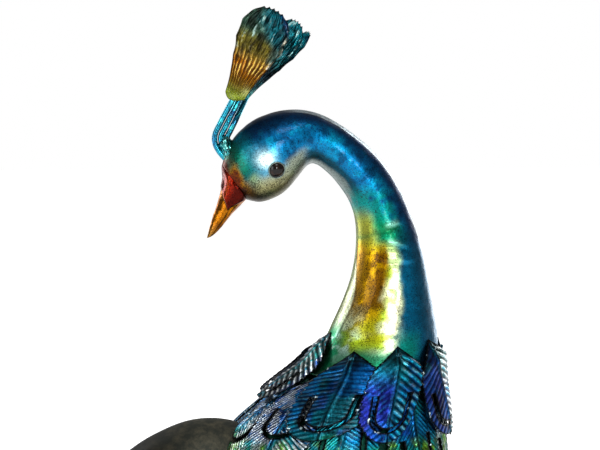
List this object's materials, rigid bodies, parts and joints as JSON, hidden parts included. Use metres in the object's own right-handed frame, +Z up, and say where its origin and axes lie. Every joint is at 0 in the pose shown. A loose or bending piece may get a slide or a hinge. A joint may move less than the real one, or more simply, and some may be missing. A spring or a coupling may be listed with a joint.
{
  "type": "peacock figurine",
  "caption": "Bust of a peacock in painted sheet metal, its neck arched down over a cape of leaf feathers, with a fan crest, cut flat below.",
  "frame": {"origin": "on the flat underside, in the bird's middle plane, straight below the eyes", "axes": "+Z up, the beak points to -X, the chest faces +X, and the middle plane of head and neck is XZ"},
  "size_m": [0.3133, 0.1659, 0.4216],
  "materials": {
    "neck_lacquer": "translucent blue, teal and gold lacquer over bright pressed steel, glossy",
    "dark_body": "dark mottled satin",
    "beak_amber": "red to ochre lacquer, glossy",
    "eye_bead": "polished black-brown bead",
    "rod_teal": "teal lacquer over steel rod",
    "fan_lacquer": "gold, olive and teal lacquer over stamped steel",
    "feather_lacquer": "blue, violet and teal lacquer over stamped steel, black edges"
  },
  "bodies": {
    "root": {"neck_and_head": "neck_lacquer", "body_shell": "dark_body", "beak": "beak_amber", "eye_near": "eye_bead", "eye_far": "eye_bead", "crest_rod_1": "rod_teal", "crest_rod_2": "rod_teal", "crest_rod_3": "rod_teal", "crest_fan_1": "fan_lacquer", "crest_fan_2": "fan_lacquer", "crest_fan_3": "fan_lacquer", "feather_upper_01": "feather_lacquer", "feather_upper_02": "feather_lacquer", "feather_upper_03": "feather_lacquer", "feather_upper_04": "feather_lacquer", "feather_upper_05": "feather_lacquer", "feather_upper_06": "feather_lacquer", "feather_upper_07": "feather_lacquer", "feather_upper_08": "feather_lacquer", "feather_upper_09": "feather_lacquer", "feather_lower_01": "feather_lacquer", "feather_lower_02": "feather_lacquer", "feather_lower_03": "feather_lacquer", "feather_lower_04": "feather_lacquer", "feather_lower_05": "feather_lacquer", "feather_lower_06": "feather_lacquer", "feather_lower_07": "feather_lacquer", "feather_lower_08": "feather_lacquer", "feather_lower_09": "feather_lacquer", "feather_lower_10": "feather_lacquer"}
  },
  "joints": []
}
